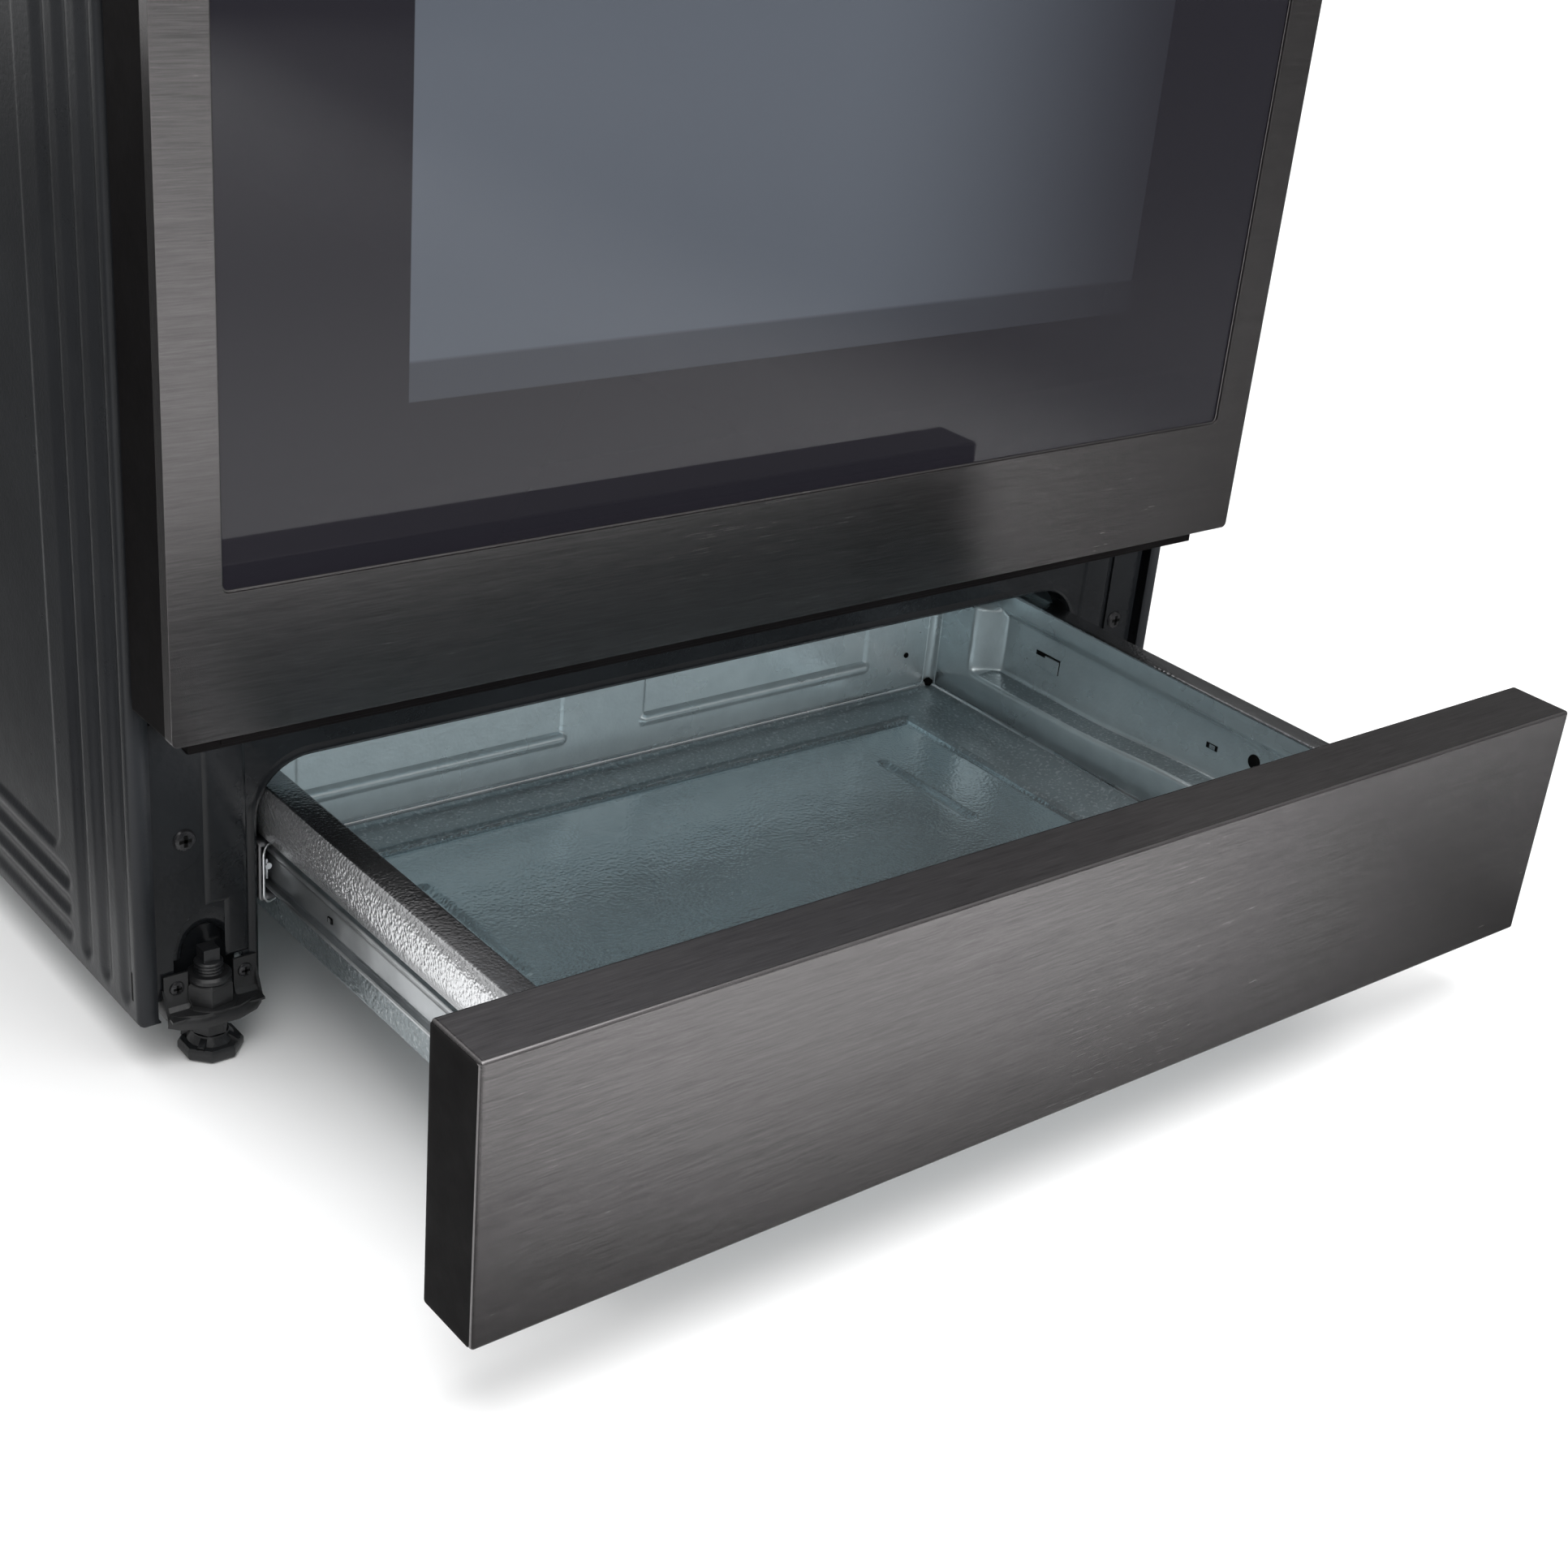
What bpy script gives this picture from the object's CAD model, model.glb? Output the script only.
import math
import bmesh
import bpy
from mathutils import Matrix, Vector


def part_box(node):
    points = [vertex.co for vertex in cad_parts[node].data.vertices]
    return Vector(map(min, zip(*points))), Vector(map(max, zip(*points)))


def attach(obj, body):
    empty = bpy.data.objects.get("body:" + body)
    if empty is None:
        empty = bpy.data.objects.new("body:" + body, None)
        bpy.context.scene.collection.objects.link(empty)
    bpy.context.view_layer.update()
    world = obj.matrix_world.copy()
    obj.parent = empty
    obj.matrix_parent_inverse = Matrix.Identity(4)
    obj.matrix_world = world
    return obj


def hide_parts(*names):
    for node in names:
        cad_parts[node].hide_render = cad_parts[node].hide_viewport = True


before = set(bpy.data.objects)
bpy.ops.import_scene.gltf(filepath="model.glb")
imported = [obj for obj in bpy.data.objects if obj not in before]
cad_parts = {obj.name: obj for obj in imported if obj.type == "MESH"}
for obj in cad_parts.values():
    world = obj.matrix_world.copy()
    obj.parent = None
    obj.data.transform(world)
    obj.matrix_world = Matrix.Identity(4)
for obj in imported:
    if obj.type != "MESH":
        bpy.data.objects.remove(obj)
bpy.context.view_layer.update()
scene = bpy.context.scene

# Y of the oven door's front face: pieces are measured from it, in millimetres
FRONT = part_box("door_skin")[0].y
HALF_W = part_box("side_panel_right")[1].x * 1000
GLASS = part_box("door_glass")
DEPTH = 672.0  # of the casing, front to back
LEG_X = 335.0  # of the four legs, each side of the middle
KNOB_PITCH, KNOB_Z = 132.0, 822.0  # from knob to knob, and their height
SIDES = (-1, 1)


def at(x, y, z):
    return Vector((x / 1000, y / 1000 + FRONT, z / 1000))


def add_object(name, data):
    obj = bpy.data.objects.new(name, data)
    scene.collection.objects.link(obj)
    return obj


def four_corners(name, points):
    """A mesh of one four-sided face."""
    mesh = bpy.data.meshes.new(name)
    mesh.from_pydata(points, [], [(0, 1, 2, 3)])
    return mesh


# ---------- camera, floor and light ----------

def make_camera():
    data = bpy.data.cameras.new("camera")
    data.sensor_width = 36
    data.lens = 53.7065
    data.shift_x = -0.0405607
    data.shift_y = 0.0287792
    data.clip_start = 0.05
    data.clip_end = 60
    cam = add_object("camera", data)
    cam.location = (-0.812511, -1.162503, 0.735553)
    cam.rotation_euler = [math.radians(a) for a in (62.7317176, -5.78706193, -39.22151592)]
    scene.camera = cam


def area_light(name, where, target, size, power):
    data = bpy.data.lights.new(name, "AREA")
    data.shape = "RECTANGLE"
    data.size, data.size_y = size
    data.energy = power
    light = add_object(name, data)
    light.location = where
    light.rotation_mode = "QUATERNION"
    light.rotation_quaternion = (Vector(target) - Vector(where)).to_track_quat("-Z", "Y")
    light.visible_camera = False
    return light


# ---------- node helpers ----------

def new_material(name):
    mat = bpy.data.materials.new(name)
    mat.use_nodes = True
    return mat, mat.node_tree, mat.node_tree.nodes["Principled BSDF"]


def node(tree, kind, **props):
    n = tree.nodes.new(kind)
    for key, value in props.items():
        setattr(n, key, value)
    return n


def put(tree, socket, value):
    """Sets a socket to a number or a colour, or links another socket to it."""
    if isinstance(value, tuple):
        socket.default_value = (*value, 1)
    elif isinstance(value, (int, float)):
        socket.default_value = value
    else:
        tree.links.new(value, socket)


def position(tree, scale=(1, 1, 1)):
    coord = node(tree, "ShaderNodeTexCoord")
    mapping = node(tree, "ShaderNodeMapping")
    mapping.inputs["Scale"].default_value = scale
    tree.links.new(coord.outputs["Object"], mapping.inputs["Vector"])
    return mapping.outputs["Vector"]


def noise_node(tree, scale, stretch=(1, 1, 1), detail=3.0, rough=0.55):
    n = node(tree, "ShaderNodeTexNoise")
    n.inputs["Scale"].default_value = scale
    n.inputs["Detail"].default_value = detail
    n.inputs["Roughness"].default_value = rough
    tree.links.new(position(tree, stretch), n.inputs["Vector"])
    return n.outputs["Fac"]


def cells(tree, scale, stretch=(1, 1, 1), smooth=0.6):
    n = node(tree, "ShaderNodeTexVoronoi", feature="SMOOTH_F1")
    n.inputs["Scale"].default_value = scale
    n.inputs["Smoothness"].default_value = smooth
    tree.links.new(position(tree, stretch), n.inputs["Vector"])
    return n.outputs["Distance"]


def remap(tree, value, low, high, to_low, to_high, smooth=False):
    n = node(tree, "ShaderNodeMapRange")
    if smooth:
        n.interpolation_type = "SMOOTHSTEP"
    tree.links.new(value, n.inputs["Value"])
    n.inputs["From Min"].default_value = low
    n.inputs["From Max"].default_value = high
    n.inputs["To Min"].default_value = to_low
    n.inputs["To Max"].default_value = to_high
    return n.outputs["Result"]


def math_node(tree, op, a, b=None):
    n = node(tree, "ShaderNodeMath", operation=op)
    for socket, v in zip(n.inputs, (a, b)):
        if v is not None:
            put(tree, socket, v)
    return n.outputs[0]


def mix_colour(tree, factor, a, b):
    n = node(tree, "ShaderNodeMix", data_type="RGBA")
    for i, v in ((0, factor), (6, a), (7, b)):
        put(tree, n.inputs[i], v)
    return n.outputs[2]


def times(tree, a, b):
    return math_node(tree, "MULTIPLY", a, b)


def plus(tree, a, b):
    return math_node(tree, "ADD", a, b)


def object_axes(tree):
    """The sockets X, Y and Z of a piece's own coordinates."""
    coord = node(tree, "ShaderNodeTexCoord")
    split = node(tree, "ShaderNodeSeparateXYZ")
    tree.links.new(coord.outputs["Object"], split.inputs[0])
    return split.outputs


def bump(tree, height, strength, distance, after=None):
    n = node(tree, "ShaderNodeBump")
    n.inputs["Strength"].default_value = strength
    n.inputs["Distance"].default_value = distance
    tree.links.new(height, n.inputs["Height"])
    if after is not None:
        tree.links.new(after, n.inputs["Normal"])
    return n.outputs["Normal"]


def finish_shader(tree, shader, colour, rough, normal=None, **constants):
    for value, socket in ((colour, "Base Color"), (rough, "Roughness"), (normal, "Normal")):
        if value is not None:
            put(tree, shader.inputs[socket], value)
    names = {"metallic": "Metallic", "specular": "Specular IOR Level", "coat": "Coat Weight",
             "coat_rough": "Coat Roughness", "ior": "IOR", "anisotropic": "Anisotropic",
             "transmission": "Transmission Weight"}
    for key, value in constants.items():
        shader.inputs[names[key]].default_value = value


# ---------- materials ----------

def brushed_steel(name, dark, light, rough=(0.22, 0.30), strength=0.05, anisotropic=0.85):
    """Sheet brushed along X, with fine grain, longer streaks and a faint smudge."""
    mat, tree, shader = new_material(name)
    fine = noise_node(tree, 1.0, (60, 1900, 1900), 2.0, 0.6)
    streak = noise_node(tree, 1.0, (14, 640, 640), 3.0, 0.6)
    smudge = noise_node(tree, 7.0, (1, 1, 1), 3.0, 0.5)
    grain = plus(tree, times(tree, fine, 0.6),
                      times(tree, streak, 0.4))
    colour = mix_colour(tree, remap(tree, grain, 0.3, 0.7, 0, 1), dark, light)
    level = plus(tree, times(tree, grain, 0.7),
                      times(tree, smudge, 0.3))
    geometry = node(tree, "ShaderNodeNewGeometry")
    cross = node(tree, "ShaderNodeVectorMath", operation="CROSS_PRODUCT")
    tree.links.new(geometry.outputs["Normal"], cross.inputs[0])
    cross.inputs[1].default_value = (1, 0, 0)
    tree.links.new(cross.outputs[0], shader.inputs["Tangent"])
    finish_shader(tree, shader, colour, remap(tree, level, 0.3, 0.7, *rough),
                  bump(tree, grain, strength, 0.0003), metallic=1.0, anisotropic=anisotropic)
    return mat


def painted(name, dark, light, rough, peel=(160, 0.12), specular=0.5, coat=0.0, metallic=0.0,
            fine=None):
    """Paint, enamel or plastic with an orange-peel surface and a cloudy tone."""
    mat, tree, shader = new_material(name)
    cloud = noise_node(tree, 12.0)
    peel_height = noise_node(tree, peel[0], (1, 1, 1), 2.0, 0.5)
    colour = mix_colour(tree, remap(tree, cloud, 0.35, 0.65, 0, 1), dark, light)
    scuff = noise_node(tree, 45.0, (1, 1, 1), 5.0, 0.6)
    normal = bump(tree, peel_height, peel[1], 0.001)
    if fine:
        normal = bump(tree, noise_node(tree, fine[0], (1, 1, 1), 2.0), fine[1], 0.0004, normal)
    finish_shader(tree, shader, colour, remap(tree, scuff, 0.3, 0.7, *rough), normal,
                  specular=specular, coat=coat, coat_rough=0.04, metallic=metallic)
    return mat


def galvanised(name, leather, cell, dark, light, rough=(0.22, 0.34), speckle=0.0,
               metallic=0.72):
    """Zinc-coated sheet: soft spangle, leathery skin and tiny handling marks."""
    mat, tree, shader = new_material(name)
    spangle = cells(tree, 95.0, (1, 1, 1), 0.25)
    cloud = noise_node(tree, 9.0, (1, 1, 1), 4.0)
    tone = plus(tree, times(tree, spangle, 0.3),
                     times(tree, cloud, 0.8))
    colour = mix_colour(tree, remap(tree, tone, 0.2, 0.95, 0, 1), dark, light)
    if speckle:
        spots = noise_node(tree, 420.0, detail=1.0)
        colour = mix_colour(tree, remap(tree, spots, 0.58, 0.66, 0, speckle), colour,
                            (0.72, 0.76, 0.78))
    skin = plus(tree, cells(tree, cell, (1, 1, 1), 0.8),
                     times(tree, noise_node(tree, cell * 1.7, (1, 1, 1), 2.0), 0.5))
    wave = bump(tree, noise_node(tree, 18.0, (1, 1, 1), 2.0), 0.10, 0.01)
    finish_shader(tree, shader, colour, remap(tree, cloud, 0.3, 0.7, *rough),
                  bump(tree, skin, leather, 0.0012, wave), metallic=metallic)
    return mat


def glass_front(name):
    """Near-black outer pane; the see-through part of the window is a little bluer."""
    mat, tree, shader = new_material(name)
    axes = object_axes(tree)
    x, z = axes["X"], axes["Z"]
    wide = remap(tree, math_node(tree, "ABSOLUTE", x), 0.2498, 0.2503, 1, 0)
    low = remap(tree, z, 0.3778, 0.3784, 0, 1)
    high = remap(tree, z, 0.6276, 0.6282, 1, 0)
    pane = times(tree, times(tree, wide, low), high)
    deep = remap(tree, z, 0.3972, 0.3992, 0.42, 1.0)
    fade = remap(tree, x, 0.0, 0.29, 1.0, 0.05, True)
    climb = remap(tree, z, 0.39, 0.62, 0.9, 1.05)
    share = times(tree, times(tree, pane, deep),
                      times(tree, fade, climb))
    colour = mix_colour(tree, share, (0.010, 0.0095, 0.0125), (0.055, 0.062, 0.075))
    smear = noise_node(tree, 14.0, (1, 1, 2.5), 4.0)
    finish_shader(tree, shader, colour, remap(tree, smear, 0.3, 0.7, 0.012, 0.03),
                  specular=0.34)
    return mat


def clear_pane(name):
    mat, tree, shader = new_material(name)
    dust = noise_node(tree, 60.0, (1, 1, 1), 4.0)
    finish_shader(tree, shader, (0.72, 0.8, 0.82), remap(tree, dust, 0.4, 0.7, 0.01, 0.08),
                  transmission=0.9, ior=1.5)
    return mat


def cast_iron(name):
    mat, tree, shader = new_material(name)
    grain = noise_node(tree, 520.0, (1, 1, 1), 3.0)
    lumps = noise_node(tree, 90.0, (1, 1, 1), 2.0)
    colour = mix_colour(tree, remap(tree, lumps, 0.35, 0.65, 0, 1), (0.011, 0.0115, 0.012),
                        (0.022, 0.022, 0.023))
    height = plus(tree, grain, times(tree, lumps, 1.4))
    finish_shader(tree, shader, colour, remap(tree, grain, 0.3, 0.7, 0.42, 0.6),
                  bump(tree, height, 0.35, 0.0006), specular=0.45)
    return mat


def plated(name, dark, light, rough=(0.18, 0.34), strength=0.08):
    """Plain metal such as zinc plate, chrome wire, aluminium or brass."""
    mat, tree, shader = new_material(name)
    cloud = noise_node(tree, 40.0, (1, 1, 1), 4.0)
    fine = noise_node(tree, 900.0, (1, 1, 1), 2.0)
    colour = mix_colour(tree, remap(tree, cloud, 0.3, 0.7, 0, 1), dark, light)
    finish_shader(tree, shader, colour, remap(tree, cloud, 0.3, 0.7, *rough),
                  bump(tree, fine, strength, 0.0004), metallic=1.0)
    return mat


def fibre(name, dark, light, scale=260.0, strength=0.6):
    mat, tree, shader = new_material(name)
    strands = noise_node(tree, scale, (1, 1, 0.15), 5.0, 0.7)
    colour = mix_colour(tree, remap(tree, strands, 0.35, 0.65, 0, 1), dark, light)
    finish_shader(tree, shader, colour, 0.85, bump(tree, strands, strength, 0.002), specular=0.2)
    return mat


M = {
    "steel": brushed_steel("black_stainless", (0.116, 0.111, 0.112), (0.192, 0.184, 0.185),
                           (0.225, 0.28), 0.03),
    "steel_top": brushed_steel("black_stainless_edge", (0.150, 0.143, 0.144),
                               (0.225, 0.216, 0.217), (0.31, 0.40), 0.03, 0.5),
    "side_black": painted("black_side", (0.0046, 0.0040, 0.0042), (0.0060, 0.0054, 0.0056),
                          (0.42, 0.55), (300, 0.05), 0.03),
    "charcoal": painted("charcoal_paint", (0.0135, 0.0145, 0.0165), (0.0175, 0.0188, 0.0212),
                        (0.27, 0.36), (420, 0.10), 0.2, fine=(1400, 0.10)),
    "enamel": painted("black_enamel", (0.0065, 0.0072, 0.0082), (0.010, 0.011, 0.0125),
                      (0.12, 0.20), (210, 0.22), 0.24),
    "gloss": painted("gloss_enamel", (0.006, 0.0065, 0.007), (0.009, 0.0095, 0.0105),
                     (0.07, 0.13), (260, 0.10), 0.5, 0.3),
    "black": painted("black_paint", (0.008, 0.0082, 0.0088), (0.014, 0.0142, 0.015),
                     (0.3, 0.42), (420, 0.14), 0.4),
    "plastic": painted("black_plastic", (0.009, 0.0095, 0.0105), (0.0145, 0.015, 0.0165),
                       (0.3, 0.45), (520, 0.20), 0.45, fine=(1700, 0.15)),
    "fastener": painted("black_fastener", (0.010, 0.010, 0.011), (0.022, 0.022, 0.024),
                        (0.22, 0.34), (600, 0.1), 0.5, metallic=0.3),
    "galvanised": galvanised("galvanised_sheet", 0.10, 420.0, (0.50, 0.565, 0.585),
                             (0.63, 0.70, 0.72)),
    "floor_zinc": galvanised("galvanised_floor", 0.16, 420.0, (0.46, 0.54, 0.57),
                             (0.56, 0.645, 0.675), (0.14, 0.22), 0.0, 0.88),
    "leather_zinc": galvanised("galvanised_skirt", 0.4, 520.0, (0.80, 0.81, 0.825),
                               (0.93, 0.94, 0.955), (0.2, 0.3), 0.0, 0.9),
    "speckle_zinc": galvanised("galvanised_border", 0.3, 420.0, (0.26, 0.30, 0.315),
                               (0.35, 0.40, 0.42), (0.24, 0.36), 0.4, 0.8),
    "rim_zinc": galvanised("galvanised_rim", 0.22, 520.0, (0.40, 0.41, 0.42),
                           (0.56, 0.57, 0.58), (0.2, 0.3), 0.0, 1.0),
    "rail": plated("slide_rail", (0.50, 0.525, 0.54), (0.64, 0.665, 0.68), (0.30, 0.42)),
    "rail_dark": plated("slide_rail_inner", (0.10, 0.10, 0.105), (0.18, 0.18, 0.185),
                        (0.26, 0.4)),
    "zinc": plated("zinc_plate", (0.50, 0.51, 0.52), (0.68, 0.69, 0.70), (0.2, 0.35)),
    "chrome": plated("chrome_wire", (0.62, 0.63, 0.65), (0.75, 0.76, 0.78), (0.08, 0.2), 0.03),
    "aluminium": plated("cast_aluminium", (0.52, 0.525, 0.53), (0.66, 0.665, 0.67),
                        (0.34, 0.5), 0.3),
    "brass": plated("brass_fitting", (0.55, 0.40, 0.16), (0.72, 0.56, 0.27)),
    "knob": plated("knob_metal", (0.12, 0.115, 0.114), (0.19, 0.18, 0.178), (0.22, 0.32)),
    "iron": cast_iron("cast_iron_matt"),
    "glass": glass_front("tinted_pane"),
    "display": painted("display_pane", (0.006, 0.006, 0.007), (0.009, 0.009, 0.010),
                       (0.015, 0.04), (5, 0.02), 0.5, 0.4),
    "clear": clear_pane("clear_pane"),
    "wool": fibre("glass_wool", (0.50, 0.42, 0.22), (0.78, 0.70, 0.45)),
    "braid": fibre("gasket_braid", (0.05, 0.052, 0.055), (0.16, 0.165, 0.17), 900.0, 0.8),
    "mark": painted("grey_print", (0.42, 0.42, 0.43), (0.52, 0.52, 0.53), (0.4, 0.5)),
    "hole": painted("dark_hole", (0.002, 0.002, 0.002), (0.003, 0.003, 0.003), (0.6, 0.8),
                    (200, 0.05), 0.1),
}


# ---------- mesh helpers ----------

def bevel_edges(obj, width, segments, angle):
    mod = obj.modifiers.new("edges", "BEVEL")
    mod.width = width / 1000
    mod.segments = segments
    mod.limit_method = "ANGLE"
    mod.angle_limit = math.radians(angle)
    mod.harden_normals = True
    return mod


def make_piece(name, bm, mats, body, replaces=(), bevel=0.0, segments=3, angle=32.0,
               bevel_material=-1, merge=True, solidify=0.0):
    """Turns a bmesh in millimetres, measured from the door's front, into a piece on a body."""
    if merge:
        bmesh.ops.remove_doubles(bm, verts=bm.verts, dist=0.001)
    bmesh.ops.recalc_face_normals(bm, faces=bm.faces)
    for v in bm.verts:
        v.co = at(*v.co)
    mesh = bpy.data.meshes.new(name)
    bm.to_mesh(mesh)
    bm.free()
    for m in mats:
        mesh.materials.append(M[m])
    mesh.polygons.foreach_set("use_smooth", [True] * len(mesh.polygons))
    mesh.set_sharp_from_angle(angle=math.radians(angle))
    obj = add_object(name, mesh)
    if solidify:
        mod = obj.modifiers.new("sheet", "SOLIDIFY")
        mod.thickness = solidify / 1000
        mod.offset = 0
    if bevel:
        mod = bevel_edges(obj, bevel, segments, angle)
        mod.material = bevel_material
        mod.miter_outer = "MITER_ARC"
    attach(obj, body)
    if replaces:
        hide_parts(*replaces)


def add_box(bm, low, high, mat=0, side_mats=None):
    """A box; side_mats gives other material numbers by face: -x, +x, -y, +y, -z, +z."""
    x0, y0, z0 = low
    x1, y1, z1 = high
    v = [bm.verts.new(p) for p in ((x0, y0, z0), (x1, y0, z0), (x1, y1, z0), (x0, y1, z0),
                                   (x0, y0, z1), (x1, y0, z1), (x1, y1, z1), (x0, y1, z1))]
    quads = {"-x": (0, 4, 7, 3), "+x": (1, 2, 6, 5), "-y": (0, 1, 5, 4), "+y": (2, 3, 7, 6),
             "-z": (0, 3, 2, 1), "+z": (4, 5, 6, 7)}
    for key, ids in quads.items():
        face = bm.faces.new([v[i] for i in ids])
        face.material_index = (side_mats or {}).get(key, mat)


def add_grid(bm, rows, mat=0, close=False, mat_of=None):
    """Quads between rows of points; mat_of(row, column) may choose a material."""
    made = [[bm.verts.new(p) for p in row] for row in rows]
    count = len(made[0])
    for i in range(len(made) - 1):
        for j in range(count if close else count - 1):
            k = (j + 1) % count
            face = bm.faces.new((made[i][j], made[i][k], made[i + 1][k], made[i + 1][j]))
            face.material_index = mat_of(i, j) if mat_of else mat


def cap(bm, rows, mat=0):
    """Closes the first and the last row of a grid, each by one face."""
    for row in (rows[0], rows[-1]):
        bm.faces.new([bm.verts.new(p) for p in row]).material_index = mat


def add_lathe(bm, profile, origin, axis, steps, mat=0, turn=0.0):
    """Turns (radius, height) pairs about an axis through origin; height runs along it."""
    ends = {"x": lambda c, s, h: (h, c, s), "y": lambda c, s, h: (c, h, s),
            "z": lambda c, s, h: (c, s, h)}[axis]
    rows = []
    for r, h in profile:
        row = []
        for i in range(steps):
            a = turn + i * math.tau / steps
            p = ends(max(r, 0.01) * math.cos(a), max(r, 0.01) * math.sin(a), h)
            row.append(tuple(o + q for o, q in zip(origin, p)))
        rows.append(row)
    add_grid(bm, rows, mat, True)
    cap(bm, rows, mat)


def rounded_rect(x0, z0, x1, z1, r, steps=6):
    points = []
    for cx, cz, a0 in ((x1 - r, z1 - r, 0), (x0 + r, z1 - r, 90), (x0 + r, z0 + r, 180),
                       (x1 - r, z0 + r, 270)):
        for i in range(steps + 1):
            a = math.radians(a0 + 90 * i / steps)
            points.append((cx + r * math.cos(a), cz + r * math.sin(a)))
    return points


def add_plate(bm, outline, holes, level, thick, plane="xz", mat=0):
    """A flat plate with holes: outline and holes are 2D loops, level and thick go across."""
    place = {"xz": lambda a, b, t: (a, t, b), "yz": lambda a, b, t: (t, a, b),
             "xy": lambda a, b, t: (a, b, t)}[plane]
    edges = []
    for loop in [outline, *holes]:
        vs = [bm.verts.new(place(a, b, level)) for a, b in loop]
        edges += [bm.edges.new((vs[i], vs[(i + 1) % len(vs)])) for i in range(len(vs))]
    made = bmesh.ops.triangle_fill(bm, edges=edges, use_beauty=True, use_dissolve=False)
    faces = [g for g in made["geom"] if isinstance(g, bmesh.types.BMFace)]
    for f in faces:
        f.material_index = mat
    grown = bmesh.ops.extrude_face_region(bm, geom=faces, use_keep_orig=True)
    shift = Vector(place(0, 0, thick))
    for g in grown["geom"]:
        if isinstance(g, bmesh.types.BMVert):
            g.co += shift
        elif isinstance(g, bmesh.types.BMFace):
            g.material_index = mat


def frame_about(d):
    """Two directions square to d and to each other."""
    side = d.cross(Vector((0, 0, 1)))
    if side.length < 1e-4:
        side = Vector((1, 0, 0))
    side.normalize()
    return side, side.cross(d)


def add_tube(bm, points, r, steps=12, mat=0, close=False):
    """A round tube along a route; corners are shared rings set across the bend."""
    pts = [Vector(p) for p in points]
    rows = []
    n = len(pts)
    u = None
    for i, p in enumerate(pts):
        if close:
            d = (pts[(i + 1) % n] - pts[i - 1]).normalized()
        else:
            a = pts[min(i + 1, n - 1)] - p
            b = p - pts[max(i - 1, 0)]
            d = ((a.normalized() if a.length else Vector()) +
                 (b.normalized() if b.length else Vector())).normalized()
        if u is None:
            u, w = frame_about(d)
        else:
            u = (u - d * u.dot(d)).normalized()
            w = d.cross(u)
        rows.append([tuple(p + r * (math.cos(k * math.tau / steps) * u +
                                    math.sin(k * math.tau / steps) * w)) for k in range(steps)])
    if close:
        rows.append(rows[0])
    add_grid(bm, rows, mat, True)
    if not close:
        cap(bm, rows, mat)


def smooth(t):
    t = min(max(t, 0.0), 1.0)
    return t * t * (3 - 2 * t)


def spread(low, high, step):
    n = max(1, math.ceil((high - low) / step))
    return [low + (high - low) * i / n for i in range(n + 1)]


def sweep(low, high, count):
    """Evenly spaced values from low to high, in count steps."""
    return [low + (high - low) * k / count for k in range(count + 1)]


def round_corner(before, corner, after, r, steps, even=True):
    """Points of the curve that rounds a corner; even cuts both its sides back alike."""
    a, b, c = Vector(before), Vector(corner), Vector(after)
    cuts = [min(r, (end - b).length * 0.45) for end in (a, c)]
    if even:
        cuts = [min(cuts)] * 2
    p, q = b + (a - b).normalized() * cuts[0], b + (c - b).normalized() * cuts[1]
    return [tuple(p * (1 - t) ** 2 + b * 2 * t * (1 - t) + q * t * t) for t in sweep(0, 1, steps)]


def round_line(points, r, steps):
    """Rounds the corners of an open polyline; every corner gives steps + 1 points."""
    out = [points[0]]
    for i in range(1, len(points) - 1):
        out += round_corner(*points[i - 1:i + 2], r, steps)
    return out + [points[-1]]


def add_screw(bm, x, y, z, r, h, mat=0, toward=-1, recess=None):
    """A pan head in front of the plane y, with a cross recess of dark blades."""
    add_lathe(bm, [(r, 0), (r, toward * h * 0.35), (r * 0.88, toward * h * 0.75),
                   (r * 0.6, toward * h), (0, toward * h * 1.06)], (x, y, z), "y", 24, mat)
    if recess is not None:
        b = r * 0.16
        for w, t in ((r * 0.55, b), (b, r * 0.55)):
            add_box(bm, (x - w, y + toward * h * 1.12, z - t), (x + w, y + toward * h * 0.9, z + t),
                    recess)


# ---------- casing ----------

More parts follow.
